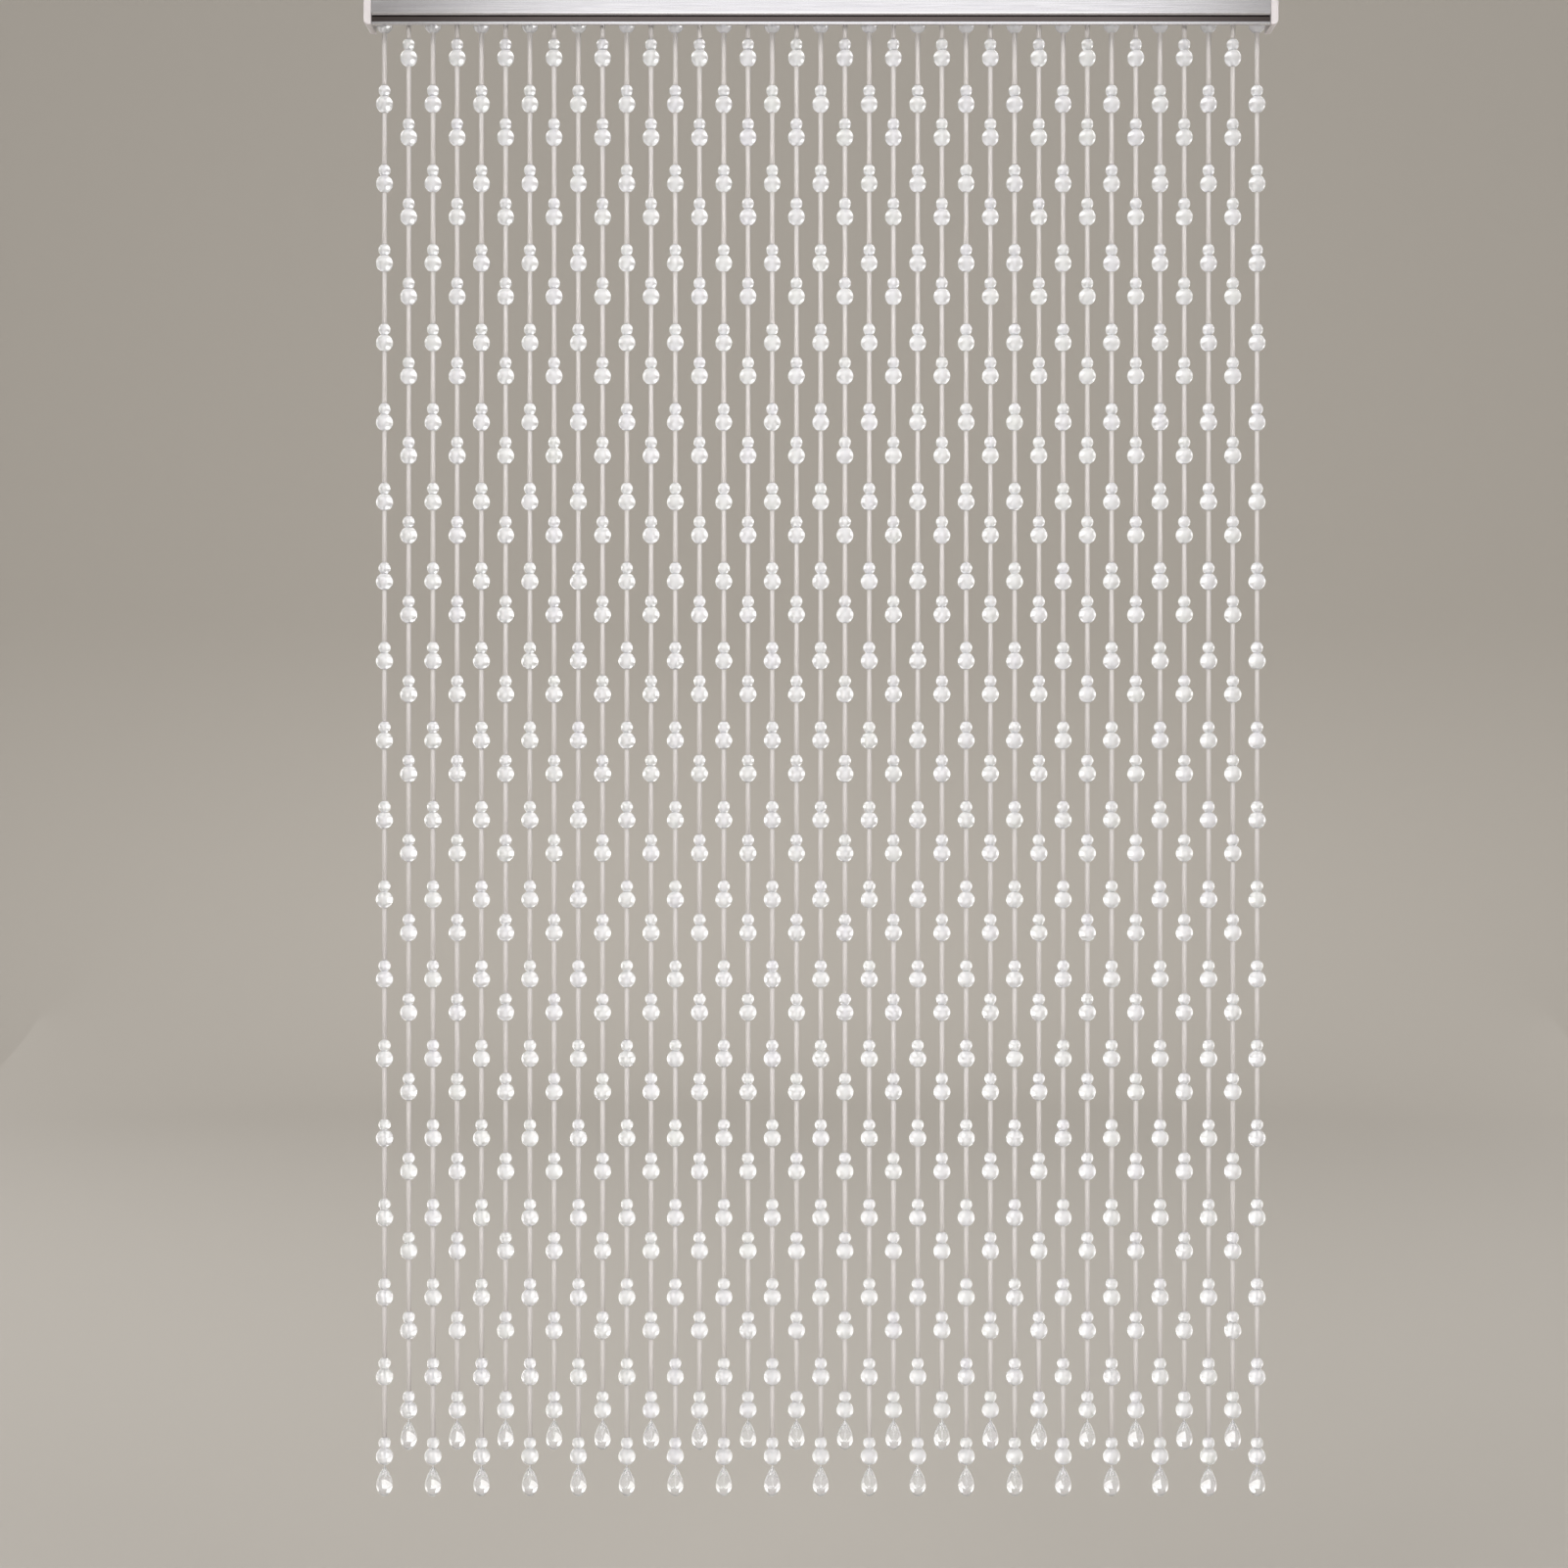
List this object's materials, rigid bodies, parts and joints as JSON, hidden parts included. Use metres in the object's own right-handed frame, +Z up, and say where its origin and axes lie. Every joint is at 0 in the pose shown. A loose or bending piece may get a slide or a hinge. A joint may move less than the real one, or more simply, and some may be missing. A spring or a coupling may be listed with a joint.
{
  "type": "bead curtain with headrail",
  "caption": "Doorway string curtain of clear gourd-shaped bead pairs with drop ends, hung from an aluminium headrail.",
  "frame": {"origin": "centre of the headrail's top face, the face that meets the lintel", "axes": "+Z up out of the headrail's top face, X along the headrail, -Y towards the front face"},
  "size_m": [1.2, 0.0426, 1.9849],
  "materials": {
    "rail_aluminium": "brushed along its length, clear anodised",
    "cap_plastic": "moulded, satin, pale warm grey",
    "bead_crystal": "polished clear balls and drops, bright silvery highlights",
    "cord_white": "smooth white cord, slightly warm",
    "strip_plastic": "plain white moulded strip"
  },
  "bodies": {
    "root": {"headrail": "rail_aluminium", "end_cap_left": "cap_plastic", "end_cap_right": "cap_plastic", "strings_left": "bead_crystal", "strings_middle": "bead_crystal", "strings_right": "bead_crystal"}
  },
  "joints": []
}
